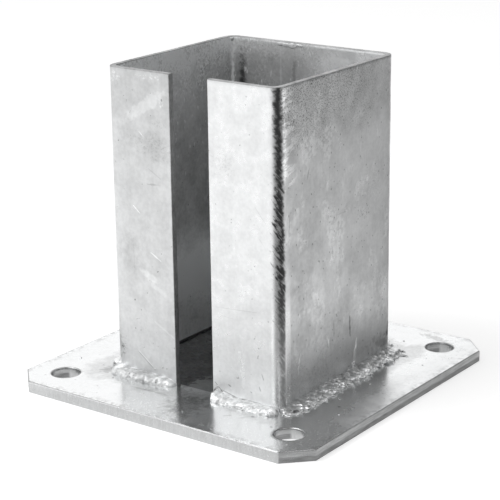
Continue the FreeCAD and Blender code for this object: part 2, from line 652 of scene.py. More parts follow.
@dataclass(frozen=True)
class InsideZinc(ZincFinish):
    """The sleeve's inner coat: painted light low down, a painted shadow along the joint, frosted
    and rubbed towards the rim.

    Attributes:
        depth: Heights between which the coat turns from its low tone to its plain one.
        low: Share of the tone at the bottom; above 1, so the deep walls are painted lighter.
        painted_band_light: How much the pale band low down lightens, as painted light.
        top_light: How much the top lightens.
        lip_light: How much the left wall's lip lightens.
        frost: Height at which the frosted band below the rim starts, and its top.
        frost_tones: How much the frost darkens and lightens.
        calm_dark: How much the left part of the back wall darkens.
        drop_light: How much the small drops lighten.
        rub_light: How much the rubbed right part of the back wall lightens.
        gap: Heights of the painted shadow along the joint between the sheet and the plate.
    """

    depth: Pair = (15 * MM, 62 * MM)
    low: float = 1.62
    painted_band_light: float = 0.38
    top_light: float = 0.12
    lip_light: float = 0.28
    frost: Pair = (118 * MM, 152 * MM)
    frost_tones: Pair = (-0.12, 0.34)
    calm_dark: float = 0.27
    drop_light: float = 0.3
    rub_light: float = 0.42
    gap: Pair = (6.3 * MM, 6.9 * MM)

    def frosted(self, place: Place, grey: Value) -> Value:
        """Frost the coat below the rim.

        Args:
            place: Where the pattern is read.
            grey: The grey so far.

        Returns:
            The new grey.
        """
        x, y, z = place.axes()
        blotch = place.stretch(shift=(2, 3, 1)).speckle(9 * MM, 4.0, 0.65)
        height = z + (blotch - 0.5) * (70 * MM)
        broken = place.stretch((1, 1, 0.7), shift=(7, 1, 4)).speckle(4 * MM, 4.0, 0.65)
        frost = height.ramp(*self.frost) * broken.ramp(0.42, 0.56, 0.3, 1.2)
        speck = place.speckle(0.6 * MM, 2.0, 0.7).ramp(0.42, 0.66, *self.frost_tones)
        calm = y.ramp(40 * MM, 45 * MM) * x.ramp(12 * MM, -14 * MM)
        grey = grey + frost * speck * calm.choose(1.0, 0.3)
        return grey - calm * z.ramp(154 * MM, 144 * MM) * self.calm_dark

    def wear(self, place: Place, grey: Value) -> Value:
        """Paint light onto the walls low down, and lay the drops, the rub and the painted shadow
        along the joint.

        Args:
            place: Where the pattern is read.
            grey: The grey so far.

        Returns:
            The new grey.
        """
        x, y, z = place.axes()
        # Painted light: the walls lighter towards the bottom and in a pale band low down, where
        # the deep inside gets little light.
        grey = grey * z.ramp(*self.depth, self.low, 1.0)
        band = z.ramp(22 * MM, 36 * MM) * z.ramp(68 * MM, 46 * MM)
        grey = grey + band * self.painted_band_light
        grey = grey + z.ramp(112 * MM, 140 * MM, 0.0, self.top_light)
        lip = x.ramp(-40 * MM, -45 * MM) * z.ramp(138 * MM, 152 * MM)
        grey = self.frosted(place, grey + lip * self.lip_light)
        drops = place.stretch((1, 1, 0.4), shift=(1, 2, 5)).speckle(0.9 * MM, 1.0)
        drops = drops.ramp(0.66, 0.72) * z.ramp(60 * MM, 110 * MM)
        rub = x.ramp(-5 * MM, 25 * MM) * y.ramp(40 * MM, 45 * MM)
        swirl = place.stretch(turn=(0, 38, 0)).stretch((1, 1, 0.2)).speckle(1.0 * MM, 3.0, 0.6)
        rub = rub * z.ramp(100 * MM, 134 * MM) * swirl.ramp(0.36, 0.62, 0.45, 1)
        grey = grey + drops * self.drop_light + rub * self.rub_light
        # Painted shadow: the wall goes dark just above the plate, along the joint.
        return grey * z.ramp(*self.gap, 0.10, 1.0)


@dataclass(frozen=True)
class CutZinc(ZincFinish):
    """The sheet's sheared edges: matt, with painted shade deepening down in the slot.

    Attributes:
        depth: Heights between which the slot's edges turn from painted shade to clean.
        dull: Share of the tone that is left at the bottom, under the painted shade.
    """

    depth: Pair = (10 * MM, 150 * MM)
    dull: float = 0.45

    def wear(self, place: Place, grey: Value) -> Value:
        """Return the grey, darker down in the slot: painted shade."""
        return grey * place.axes()[2].ramp(*self.depth, self.dull, 1.0)


@dataclass(frozen=True)
class PlateZinc(ZincFinish):
    """The plate's coat: bright on top, duller on its cut edges, darkened close to the welds, and
    with painted shade inside the sleeve.

    Attributes:
        edge_tone: Grey of the cut edges and the hole walls.
        torn_tone: Grey of the lower, torn part of the cut edges.
        front_lit_tone: Grey of the slotted side's cut edge, painted lighter as it faces the
            light.
        torn_height: Height of the torn part.
        rim_reflection_tone: Grey of the dark line along the rims, a painted reflection.
        inside: From the axis to the sleeve's inner faces, and how much the plate is darkened
            there, as painted shade.
        weld_reflection_band: From the axis, where the dark band by the welds begins to fade and
            ends.
        reflection_and_residue_dark: How much that band darkens; partly dark residue, partly
            painted reflection.
        worn_dark: How much the worn patches by the rim darken.
        sparkle: Spacing, radius and height (in reliefs) of the raised grains.
        frost: Roughness that the frosted right side adds, and its height in reliefs.
        grit_matt: Roughness that the raised grains add.
    """

    edge_tone: float = 0.63
    torn_tone: float = 0.40
    front_lit_tone: float = 0.86
    torn_height: float = 2.3 * MM
    rim_reflection_tone: float = 0.40
    inside: Pair = (47 * MM, 0.76)
    weld_reflection_band: Pair = (57 * MM, 66 * MM)
    reflection_and_residue_dark: float = 0.22
    worn_dark: float = 0.24
    sparkle: Triple = (0.75 * MM, 0.22 * MM, 2.2)
    frost: Pair = (0.22, 1.6)
    grit_matt: float = 0.3

    def outward(self, place: Place) -> Shade:
        """Return how far a place is from the axis, squarely."""
        x, y, _ = place.axes()
        return place.board.maths("MAXIMUM", abs(x), abs(y))

    def grit(self, place: Place) -> Shade:
        """Draw the raised grains, which crowd towards the plate's rim.

        Args:
            place: Where the pattern is read.

        Returns:
            The mask of the grains.
        """
        cloud = place.stretch(shift=(6, 1, 0)).speckle(6 * MM, 3.0).ramp(0.38, 0.62, 0.35, 1.0)
        crowd = self.outward(place).ramp(64 * MM, 83 * MM, 0.03, 0.6) * cloud
        return place.dots(*self.sparkle[:2], crowd)

    def skin(self, place: Place, pit: Shade) -> Shade:
        """Raise the grains over the fine relief.

        Args:
            place: Where the pattern is read.
            pit: The mask of the dark specks.

        Returns:
            The height, in shares of the relief field.
        """
        raised = self.grit(place) * self.sparkle[2]
        frosted = place.axes()[0].ramp(60 * MM, 80 * MM)
        rough = place.speckle(0.4 * MM, 1.0) * frosted * self.frost[1]
        return super().skin(place, pit) + (raised + rough)

    def polish(self, place: Place, rough: Shade) -> Shade:
        """Frost the right side and dull the raised grains.

        Args:
            place: Where the pattern is read.
            rough: The roughness so far.

        Returns:
            The new roughness.
        """
        x, y, _ = place.axes()
        cloud = place.stretch(shift=(2, 5, 0)).speckle(5 * MM, 3.0, 0.65)
        frosted = x.ramp(62 * MM, 80 * MM) * y.ramp(-70 * MM, -25 * MM, 0.15, 1.0)
        frosted = frosted * cloud.ramp(0.35, 0.6, 0.5, 1.0)
        return rough + frosted * self.frost[0] + self.grit(place) * self.grit_matt

    def cut_edge(self, place: Place, ahead: Shade) -> Shade:
        """Draw the sawn and torn edge.

        Args:
            place: Where the pattern is read.
            ahead: The mask of the slotted side's edge.

        Returns:
            The grey of the cut edges.
        """
        z = place.axes()[2]
        torn = self.torn_height
        cut = z.ramp(torn, torn + 0.5 * MM, self.torn_tone, self.edge_tone)
        lines = place.stretch((0.25, 0.25, 2.0)).speckle(1.2 * MM, 3.0, 0.6)
        scores = place.stretch((1.0, 1.0, 0.25)).speckle(0.6 * MM, 3.0, 0.6)
        lines = lines.ramp(0.3, 0.7, -0.09, 0.09)
        scores = scores.ramp(0.3, 0.7, -0.045, 0.045)
        # Painted light: the slotted side's cut edge is lighter than the others.
        return ahead.choose(cut, self.front_lit_tone) + ahead.choose(lines, scores)

    def wear(self, place: Place, grey: Value) -> Value:
        """Darken the plate round the welds, paint shade inside the sleeve, and draw its edges and
        rims.

        Args:
            place: Where the pattern is read.
            grey: The grey so far.

        Returns:
            The new grey.
        """
        out = self.outward(place)
        wobble = place.speckle(6 * MM, 3.0).ramp(0.2, 0.8, -5 * MM, 5 * MM)
        # Partly painted reflection, partly dark residue: the band round the welds' toes.
        band = (out + wobble).ramp(*self.weld_reflection_band, self.reflection_and_residue_dark, 0.0)
        # Painted shade: the plate within the sleeve is darkened.
        wall, dark = self.inside
        shade_inside_sleeve = out.ramp(wall, wall - 0.5 * MM, 0.0, dark)
        grey = grey - band - (shade_inside_sleeve - shade_inside_sleeve * band)
        dross = place.stretch(shift=(4, 0, 3)).speckle(2.2 * MM, 4.0, 0.65).ramp(0.44, 0.58)
        grey = grey - out.ramp(79.5 * MM, 84 * MM) * dross * self.worn_dark
        lies = place.board.place("NewGeometry").outputs["Normal"]
        _, lies_y, lies_z = Place(place.board, lies).axes()
        level = abs(lies_z)
        cut = self.cut_edge(place, (lies_y * -1.0).ramp(0.8, 0.95))
        grey = level.ramp(0.75, 0.35).choose(grey, cut)
        # Painted reflection: a broken dark line along the rounded rims.
        broken = place.speckle(2.5 * MM, 3.0, 0.6).ramp(0.36, 0.56, 0.7, 1.0)
        rim = level.ramp(0.998, 0.985) * level.ramp(0.35, 0.55) * broken
        return rim.choose(grey, self.rim_reflection_tone)


@dataclass(frozen=True)
class BeadZinc(ZincFinish):
    """The welds' coat: painted lighter on the crests of the beads and painted shade in the
    hollows.

    Attributes:
        hollow_shade_tone: Grey of the hollows, painted shade.
    """

    hollow_shade_tone: float = 0.48

    def base(self, place: Place) -> Shade:
        """Return the grey that follows the beads' own swell: painted shade in the hollows."""
        swell = place.board.place("Attribute", attribute_name="swell").outputs["Fac"]
        return Shade(place.board, swell).choose(self.hollow_shade_tone, self.tone)


def add_piece(
    name: str,
    form: bmesh.types.BMesh,
    finishes: list[bpy.types.Material],
    stands_for: str,
    crease: float = 80.0,
) -> bpy.types.Object:
    """Turn a finished form into a piece of the post base.

    Args:
        name: The piece's name.
        form: The mesh, in place; it is freed.
        finishes: The materials, by material index.
        stands_for: The solid that it replaces, or an empty string for an extra piece.
        crease: Degrees between faces past which an edge is shaded sharp.

    Returns:
        The new object.
    """
    for face in form.faces:
        face.smooth = True
    mesh = bpy.data.meshes.new(name)
    form.to_mesh(mesh)
    form.free()
    mesh.set_sharp_from_angle(angle=math.radians(crease))
    for finish in finishes:
        mesh.materials.append(finish)
    piece = bpy.data.objects.new(name, mesh)
    bpy.context.scene.collection.objects.link(piece)
    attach(piece, "root")
    if stands_for:
        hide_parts(stands_for)
    LOG.info("%s: %d faces", name, len(mesh.polygons))
    return piece


def sweep(form: bmesh.types.BMesh, parts: Elements, step: Triple, steps: int) -> Elements:
    """Extrude parts along a straight line in equal steps.

    Args:
        form: The mesh.
        parts: The vertices and edges to carry along.
        step: One step.
        steps: How many steps.

    Returns:
        The parts at the end.
    """
    swept = bmesh.ops.spin(
        form, geom=parts, cent=(0, 0, 0), axis=UP, angle=0.0, dvec=step, steps=steps
    )
    return swept["geom_last"]


def ease(form: bmesh.types.BMesh, above: float, width: float, segments: int = 2) -> None:
    """Round the hard edges over by a small width.

    Args:
        form: The mesh.
        above: Height above which the edges are eased.
        width: How far the rounding reaches.
        segments: Faces across the rounding.
    """
    hard = math.radians(55.0)
    edges = [
        edge
        for edge in form.edges
        if len(edge.link_faces) == 2
        and min(vert.co.z for vert in edge.verts) > above
        and edge.calc_face_angle(0.0) > hard
    ]
    bmesh.ops.bevel(
        form,
        geom=edges,
        offset=width,
        offset_type="OFFSET",
        segments=segments,
        profile=0.5,
        affect="EDGES",
        clamp_overlap=True,
        material=-1,
    )


@dataclass
class PostSleeve:
    """The sleeve: one folded sheet, open down the slotted side.

    Attributes:
        slot: Width of the slot.
        sink: How far the sheet goes into the plate.
        cell: Size of the mesh's cells.
        bend_steps: Faces round a bend.
        rim_round: Rounding of the rim and the slot's edges.
        top_gap: How far the rim stays below the solid's.
        sway: Length and depth of the sheet's slow waves.
        dimples: Length and depth of its fine ones.
        proud: How far the waves may stand out of the plain sheet.
    """

    slot: float = 21.5 * MM
    sink: float = 0.3 * MM
    cell: float = 1.6 * MM
    bend_steps: int = 12
    rim_round: float = 0.35 * MM
    top_gap: float = 0.01 * MM
    sway: Pair = (34 * MM, 0.16 * MM)
    dimples: Pair = (5 * MM, 0.012 * MM)
    proud: float = 0.02 * MM

    def fold_line(self, form: bmesh.types.BMesh) -> None:
        """Draw the sheet's outer foot line, from the slot's right edge round to its left.

        Args:
            form: The mesh to draw in.
        """
        start = (self.slot / 2, -HALF_SIDE, PLATE_TOP - self.sink)
        tip = bmesh.ops.create_vert(form, co=start)["vert"]
        flange = FLAT_HALF - self.slot / 2
        for turn, length in enumerate((flange, *(2 * FLAT_HALF,) * 3, flange)):
            along = Vector((1, 0, 0))
            along.rotate(Matrix.Rotation(turn * QUARTER_TURN, 3, "Z"))
            steps = round(length / self.cell)
            tip = sweep(form, tip, along * length / steps, steps)
            if turn < 4:
                tip = bmesh.ops.spin(
                    form,
                    geom=tip,
                    cent=tip[0].co + UP.cross(along) * BEND_RADIUS,
                    axis=UP,
                    angle=QUARTER_TURN,
                    steps=self.bend_steps,
                )["geom_last"]

    def wave(self, form: bmesh.types.BMesh) -> None:
        """Give the sheet the slight waves of rolled and folded steel.

        Args:
            form: The sheet, without its thickness.
        """
        form.normal_update()
        stiff_foot = 25 * MM
        (length, depth), (dimple, dimple_depth) = self.sway, self.dimples
        for vert in form.verts:
            rise = min(1.0, (vert.co.z - PLATE_TOP) / stiff_foot)
            wave = noise.noise(vert.co / length) * depth * max(rise, 0)
            wave += noise.noise(vert.co / dimple + Vector((7, 0, 0))) * dimple_depth
            vert.co += vert.normal * (min(wave, self.proud) - self.proud)

    def part_faces(self, form: bmesh.types.BMesh) -> None:
        """Give the inner faces the second finish, and the rim and slot edges the third.

        Args:
            form: The finished sheet.
        """
        inner = HALF_SIDE - SHEET + 0.3 * MM
        rim = PLATE_TOP + SLEEVE_HEIGHT - self.rim_round
        for face in form.faces:
            middle = face.calc_center_median()
            by_slot = abs(middle.x) < self.slot / 2 + self.rim_round
            if middle.z > rim or (by_slot and middle.y < -inner + 0.6 * MM):
                face.material_index = 2
            elif max(abs(middle.x), abs(middle.y)) < inner and face.normal.dot(middle) < 0:
                face.material_index = 1

    def build(self, *finishes: bpy.types.Material) -> bpy.types.Object:
        """Fold the sheet and dress it.

        Args:
            finishes: The finish outside, the one inside, and the one of the cut edges.

        Returns:
            The finished sleeve.
        """
        form = bmesh.new()
        self.fold_line(form)
        rise = SLEEVE_HEIGHT + self.sink
        rows = round(rise / self.cell)
        sweep(form, form.verts[:] + form.edges[:], (0, 0, rise / rows), rows)
        self.wave(form)
        bmesh.ops.solidify(form, geom=form.faces[:], thickness=SHEET)
        bmesh.ops.recalc_face_normals(form, faces=form.faces)
        ease(form, PLATE_TOP, self.rim_round)
        for vert in form.verts:
            vert.co.z = min(vert.co.z, PLATE_TOP + SLEEVE_HEIGHT - self.top_gap)
        self.part_faces(form)
        return add_piece(
            "folded_sleeve", form, list(finishes), "post_sleeve", crease=35.0
        )


@dataclass
class BasePlate:
    """The plate: corners cut off, four bolt holes, edges eased by the zinc.

    Attributes:
        corner_cut: How much of each side the cut corners take.
        bolt_spacing: Between the bolt holes' centres.
        hole: Diameter of the bolt holes.
        hole_patch: Half the square of the mesh that a hole is set into.
        cell: Size of the mesh's cells.
        wall_rows: Rows of faces down the plate's edge.
        edge_round: Rounding of the upper edges.
        puddles: Length and depth of the puddles of zinc.
        ripples: Length of the ripples in them, and their depth as a share of the puddles'.
    """

    corner_cut: float = 12.0 * MM
    bolt_spacing: float = 132.0 * MM
    hole: float = 14.0 * MM
    hole_patch: float = 9.0 * MM
    cell: float = 1.0 * MM
    wall_rows: int = 5
    edge_round: float = 0.5 * MM
    puddles: Pair = (16 * MM, 0.05 * MM)
    ripples: Pair = (5 * MM, 0.2)

    def bolt_centres(self) -> list[Vector]:
        """Return the four bolt hole centres."""
        ends = (-self.bolt_spacing / 2, self.bolt_spacing / 2)
        return [Vector((x, y, PLATE_TOP)) for x in ends for y in ends]

    def cut_hole(self, form: bmesh.types.BMesh, centre: Vector) -> None:
        """Open one bolt hole in the top face.

        Args:
            form: The top face.
            centre: The hole's centre.
        """
        patch = []
        for face in form.faces:
            away = face.calc_center_median() - centre
            if max(abs(away.x), abs(away.y)) < self.hole_patch:
                patch.append(face)
        bmesh.ops.delete(form, geom=patch, context="FACES")
        square = [
            edge
            for edge in form.edges
            if edge.is_boundary and (edge.verts[0].co - centre).length < 2 * self.hole_patch
        ]
        ring = bmesh.ops.create_circle(
            form,
            cap_ends=False,
            segments=len(square),
            radius=self.hole / 2,
            matrix=Matrix.Translation(centre),
        )["verts"]
        rim = list({edge for vert in ring for edge in vert.link_edges})
        bmesh.ops.bridge_loops(form, edges=square + rim)

    def top_face(self, form: bmesh.types.BMesh) -> None:
        """Lay the top face with its corners cut and its holes open.

        Args:
            form: The mesh to lay it in.
        """
        count = round(PLATE_SIDE / self.cell)
        bmesh.ops.create_grid(form, x_segments=count, y_segments=count, size=PLATE_SIDE / 2)
        bmesh.ops.translate(form, vec=(0, 0, PLATE_TOP), verts=form.verts)
        for centre in self.bolt_centres():
            self.cut_hole(form, centre)
        corner = (PLATE_SIDE - self.corner_cut) / 2
        for x, y in ((1, 1), (1, -1), (-1, 1), (-1, -1)):
            bmesh.ops.bisect_plane(
                form,
                geom=form.verts[:] + form.edges[:] + form.faces[:],
                dist=1e-6,
                plane_co=(x * corner, y * corner, 0),
                plane_no=(x, y, 0),
                clear_outer=True,
            )

    def settle_zinc(self, form: bmesh.types.BMesh) -> None:
        """Give the top face the shallow puddles of the zinc bath.

        Args:
            form: The finished plate.
        """
        (length, depth), (ripple, share) = self.puddles, self.ripples
        for vert in form.verts:
            if vert.co.z > PLATE_TOP - self.edge_round:
                puddle = noise.noise(vert.co / length) * depth
                puddle += noise.noise(vert.co / ripple) * share * depth
                vert.co.z += puddle

    def build(self, finish: bpy.types.Material) -> bpy.types.Object:
        """Make the plate and dress it.

        Args:
            finish: Its finish.

        Returns:
            The finished plate.
        """
        form = bmesh.new()
        self.top_face(form)
        border = [edge for edge in form.edges if edge.is_boundary]
        parts = border + list({vert for edge in border for vert in edge.verts})
        foot = sweep(form, parts, (0, 0, -PLATE_TOP / self.wall_rows), self.wall_rows)
        lower = [part for part in foot if isinstance(part, bmesh.types.BMEdge)]
        bmesh.ops.triangle_fill(form, use_beauty=True, edges=lower, normal=(0, 0, -1))
        bmesh.ops.recalc_face_normals(form, faces=form.faces)
        ease(form, 0.9 * PLATE_TOP, self.edge_round, segments=3)
        self.settle_zinc(form)
        return add_piece("anchor_plate", form, [finish], "base_plate", 60)


@dataclass
class WeldRun:
    """One fillet weld along the foot of a side, laid in uneven beads.

    Attributes:
        node: The solid that it stands for.
        side: The side whose foot it runs along.
        shape: From its start to its end, the distance from the side's middle, the reach over
            the plate and the climb up the sleeve, in millimetres.
        seed: What makes its beads its own.
        bulge: How much flatter it is towards the plate and the sleeve.
        sink: How far it goes into the steel.
        step: Length of the mesh's cells.
        arc_steps: Faces over its skin.
        end_ease: Length over which its ends are rounded off.
        end_size: Its size at the very end, as a share.
        bead: Length of the beads.
        bead_height: Their height, as a share of the section.
        ripple: Length of the ripples.
        knot: Size of the small knots.
        knotty: Their height, as a share of the section.
        wander: How far the weld wanders up and down, as a share of the section.
    """

    node: str
    side: Side
    shape: tuple[Triple, ...]
    seed: float
    bulge: float = 0.10
    sink: float = 0.8 * MM
    step: float = 0.4 * MM
    arc_steps: int = 18
    end_ease: float = 3.0 * MM
    end_size: float = 0.35
    bead: float = 5.6 * MM
    bead_height: float = 0.42
    ripple: float = 1.9 * MM
    knot: float = 2.1 * MM
    knotty: float = 0.07
    wander: Pair = (4 * MM, 0.12)

    def section(self, form: bmesh.types.BMesh) -> Elements:
        """Draw the closed cross-section: a quarter round with its corner in the steel.

        Its width and height are 1 here; y is the reach from the sleeve and z the climb.

        Args:
            form: The mesh to draw in.

        Returns:
            The section's vertices and edges.
        """
        toe = bmesh.ops.create_vert(form, co=(0, 1, 0))["vert"]
        across = {"cent": (0, 0, 0), "axis": (1, 0, 0), "angle": QUARTER_TURN}
        bmesh.ops.spin(form, geom=toe, steps=self.arc_steps, **across)
        ends = [vert for vert in form.verts if len(vert.link_edges) == 1]
        heel = bmesh.ops.create_vert(form, co=(0, 0, 0))["vert"][0]
        for vert in ends:
            form.edges.new((vert, heel))
        return form.verts[:] + form.edges[:]

    def size_at(self, distance: float) -> Pair:
        """Measure the weld at one distance; it is rounded off at both ends.

        Args:
            distance: From the side's middle.

        Returns:
            Its reach and its climb.
        """
        place = distance / MM
        reach, climb = self.shape[-1][1:]
        for low, high in zip(self.shape, self.shape[1:]):
            if place <= high[0]:
                share = min(max((place - low[0]) / (high[0] - low[0]), 0.0), 1.0)
                share = share * share * (3 - 2 * share)
                reach = low[1] + (high[1] - low[1]) * share
                climb = low[2] + (high[2] - low[2]) * share
                break
        size = MM
        for gap in (place - self.shape[0][0], self.shape[-1][0] - place):
            near = min(max(gap * MM / self.end_ease, 0.0), 1.0)
            size *= self.end_size + (1 - self.end_size) * math.sqrt(1 - (1 - near) ** 2)
        return reach * size, climb * size

    def lumps(self, distance: float, angle: float) -> float:
        """Measure the beads, ripples and knots at one spot of the weld's skin.

        Args:
            distance: From the side's middle.
            angle: Round the weld, from the plate up to the sleeve.

        Returns:
            How far the skin stands from the plain section, as a share of it.
        """
        girth = 5.0 * angle
        travel = distance + 0.9 * MM * math.cos(2 * angle)
        fine = 2.1 * MM / self.knot
        beads = abs(noise.noise(Vector((travel / self.bead, 0.25 * girth, self.seed))))
        ripples = abs(math.sin(math.pi * travel / self.ripple + self.seed))
        knots = noise.noise(Vector((distance / self.knot, 0.5 * fine * girth, self.seed + 3)))
        rough = noise.noise(Vector((2.3 * distance / self.knot, fine * girth, self.seed + 5)))
        plain = self.bead_height * (beads - 0.24) + 0.03 * ripples
        return plain + self.knotty * (knots + 0.6 * rough)

    def foot_at(self, distance: float) -> tuple[Vector, Vector]:
        """Follow the sleeve's foot along the side and round its bends.

        Args:
            distance: From the side's middle.

        Returns:
            The place on the foot line, and the way out from the sleeve there.
        """
        past = max(abs(distance) - FLAT_HALF, 0.0)
        turn = past / BEND_RADIUS
        sign = math.copysign(1.0, distance)
        out = Vector((sign * math.sin(turn), -math.cos(turn), 0))
        if past:
            return Vector((sign * FLAT_HALF, -FLAT_HALF, 0)) + out * BEND_RADIUS, out
        return Vector((distance, -HALF_SIDE, 0)), out

    def lay(self, form: bmesh.types.BMesh) -> None:
        """Carry the straight bar round the sleeve's foot and swell it into beads.

        Args:
            form: The bar, as long as the weld and of width 1.
        """
        swell = form.verts.layers.float.new("swell")
        length, share = self.wander
        for vert in form.verts:
            distance, away, rise = vert.co
            angle = math.atan2(rise, away)
            reach, climb = self.size_at(distance)
            if away > 0 or rise > 0:
                wander = share * noise.noise(Vector((distance / length, self.seed, 9)))
                lump = self.lumps(distance, angle) * (0.5 + 0.5 * math.sin(2 * angle))
                vert[swell] = min(max(0.5 + 5.0 * lump, 0.0), 1.0)
                body = 1 - self.bulge * math.cos(2 * angle) ** 2 + lump
                away *= reach * (body + wander)
                rise *= climb * (body - wander)
            away -= self.sink * (angle > 0.9) * 0.5
            rise -= self.sink * (angle < 0.7) * 0.5
            foot, out = self.foot_at(distance)
            vert.co = foot + out * away + UP * (PLATE_TOP + rise)

    def build(self, finish: bpy.types.Material) -> bpy.types.Object:
        """Lay the weld and dress it.

        Args:
            finish: Its finish.

        Returns:
            The finished weld.
        """
        form = bmesh.new()
        parts = self.section(form)
        start, end = self.shape[0][0] * MM, self.shape[-1][0] * MM
        bmesh.ops.translate(form, vec=(start, 0, 0), verts=form.verts)
        count = round((end - start) / self.step)
        last = sweep(form, parts, ((end - start) / count, 0, 0), count)
        for loop in (parts, last):
            edges = [part for part in loop if isinstance(part, bmesh.types.BMEdge)]
            bmesh.ops.edgeloop_fill(form, edges=edges)
        self.lay(form)
        bmesh.ops.recalc_face_normals(form, faces=form.faces)
        turn = Matrix.Rotation(self.side.value * QUARTER_TURN, 3, "Z")
        bmesh.ops.rotate(form, cent=(0, 0, 0), matrix=turn, verts=form.verts)
        name = self.node.replace("weld", "bead")
        return add_piece(name, form, [finish], self.node)


@dataclass
class Spatter:
    """Droplets of weld metal thrown on the plate and the sleeve's foot.

    Attributes:
        count: How many droplets.
        seed: What scatters them.
        sizes: Their smallest and largest radius.
        sides: The sides that they fall by, in quarter turns; the right one gets most.
        on_sleeve: Share of them that sit on the sleeve, where the foot is clear.
        clear: Distances from the side's middle between which it is clear.
        spikes: Spikes of metal that ran out over the plate: the root's x and y, the heading
            in degrees, the length and the width, in millimetres.
    """

    count: int = 110
    seed: int = 11
    sizes: Pair = (0.22 * MM, 0.75 * MM)
    sides: tuple[int, ...] = (0, 1, 1, 2, 3)
    on_sleeve: float = 0.45
    clear: Pair = (13 * MM, 41 * MM)
    spikes: tuple[tuple[float, ...], ...] = (
        (50.5, 50.0, 4, 5.6, 1.8),
        (53.0, 43.5, 20, 7.6, 2.2),
        (54.0, 46.5, -8, 4.4, 1.5),
        (50.5, -50.8, -60, 2.6, 0.9),
        (51.5, -50.0, -45, 3.4, 0.8),
        (52.4, -49.0, -32, 3.0, 0.9),
        (49.0, -51.4, -78, 2.4, 0.8),
    )

    def spike(self, form: bmesh.types.BMesh, shape: tuple[float, ...]) -> None:
        """Add one thin spike of metal.

        The noise on its skin isn't seeded, so the skin differs a little from run to run.

        Args:
            form: The mesh to add to.
            shape: One row of the spikes.
        """
        x, y, heading, length, width = shape
        made = bmesh.ops.create_icosphere(form, subdivisions=3, radius=1.0)["verts"]
        lies = Matrix.Translation(Vector((x, y, 0.25)) * MM + UP * PLATE_TOP)
        lies = lies @ Matrix.Rotation(math.radians(heading), 4, "Z")
        for vert in made:
            along = 0.5 + 0.5 * vert.co.x
            slim = (1.0 - 0.75 * along) * width / 2
            plain = Vector((along * length, vert.co.y * slim, 0.6 * vert.co.z * slim)) * MM
            vert.co = lies @ plain
            vert.co += 0.25 * MM * noise.noise_vector(vert.co / (1.1 * MM))

    def drop(self, form: bmesh.types.BMesh, dice: random.Random) -> None:
        """Throw one droplet, flattened along the face that it lands on.

        Args:
            form: The mesh to add to.
            dice: What decides where it lands.
        """
        small, large = self.sizes
        size = small + (large - small) * dice.random() ** 3
        along = dice.uniform(-HALF_SIDE, HALF_SIDE)
        turn = Matrix.Rotation(dice.choice(self.sides) * QUARTER_TURN, 3, "Z")
        if dice.random() < self.on_sleeve and self.clear[0] < abs(along) < self.clear[1]:
            up = PLATE_TOP + 5 * MM + 14 * MM * dice.random() ** 2
            place = Vector((along, -HALF_SIDE, up))
            squash = turn @ Vector((1.0, 0.5, 1.0))
        else:
            away = 7 * MM + 20 * MM * dice.random() ** 2
            place = Vector((along, -HALF_SIDE - away, PLATE_TOP))
            squash = Vector((1.0, 1.0, 0.5))
        flat = Matrix.Diagonal((*(abs(value) for value in squash), 1))
        grown = Matrix.Translation(turn @ place) @ flat
        bmesh.ops.create_icosphere(form, subdivisions=2, radius=size, matrix=grown)

    def build(self, finish: bpy.types.Material) -> bpy.types.Object:
        """Scatter the droplets and dress them.

        Args:
            finish: Their finish.

        Returns:
            The finished droplets and spikes.
        """
        form = bmesh.new()
        dice = random.Random(self.seed)
        for _ in range(self.count):
            self.drop(form, dice)
        for shape in self.spikes:
            self.spike(form, shape)
        return add_piece("weld_spatter", form, [finish], "")


@dataclass
class ZincRuns:
    """Runs and lumps where the zinc froze thick: on the faces and inside the rim.

    Attributes:
        runs: Each one's middle and half sizes, in millimetres, and its tilt in degrees.
        rim: Height in millimetres above which they are lumps inside the rim.
        top: Height that they stay below.
    """

    runs: tuple[tuple[Triple, Triple, float], ...] = (
        ((49.0, 14.0, 15.5), (0.35, 1.1, 6.5), 12),
        ((49.0, 12.8, 9.5), (0.6, 1.5, 2.2), 0),
        ((49.0, -9.0, 27.0), (0.25, 0.7, 2.6), 14),
        ((49.0, -33.0, 24.0), (0.2, 0.9, 5.0), 10),
        ((26.8, -49.0, 25.5), (1.2, 0.16, 5.2), 0),
        ((-16.0, 46.0, 154.2), (3.0, 0.35, 0.8), 0),
        ((-12.6, 46.0, 153.9), (2.6, 0.45, 1.1), 0),
        ((-9.2, 46.0, 153.8), (2.4, 0.35, 1.2), 0),
        ((-4.8, 46.0, 154.3), (3.0, 0.35, 0.6), 0),
        ((-44.8, 44.8, 154.2), (1.0, 1.0, 1.0), 0),
        ((40.5, -46.0, 154.2), (2.0, 0.4, 0.7), 0),
    )
    rim: float = 150.0
    top: float = 155.4 * MM

    def build(self, *finishes: bpy.types.Material) -> bpy.types.Object:
        """Freeze the lumps on their faces and dress them.

        Args:
            finishes: The finish of the runs outside, and of the lumps inside the rim.

        Returns:
            The finished lumps.
        """
        form = bmesh.new()
        for middle, half, tilt in self.runs:
            axis = "X" if abs(middle[0]) > 48 else "Y"
            centre = Vector(middle) * MM
            grown = Matrix.Translation(centre)
            grown = grown @ Matrix.Rotation(math.radians(-tilt), 4, axis)
            grown = grown @ Matrix.Diagonal((*(Vector(half) * MM), 1))
            lump = bmesh.ops.create_icosphere(form, subdivisions=4, radius=1.0, matrix=grown)
            for vert in lump["verts"]:
                uneven = noise.noise(vert.co / (1.3 * MM))
                vert.co += (vert.co - centre) * 0.35 * uneven
                vert.co.z = min(vert.co.z, self.top)
                for face in vert.link_faces:
                    face.material_index = int(middle[2] > self.rim)
        return add_piece("zinc_runs", form, list(finishes), "")


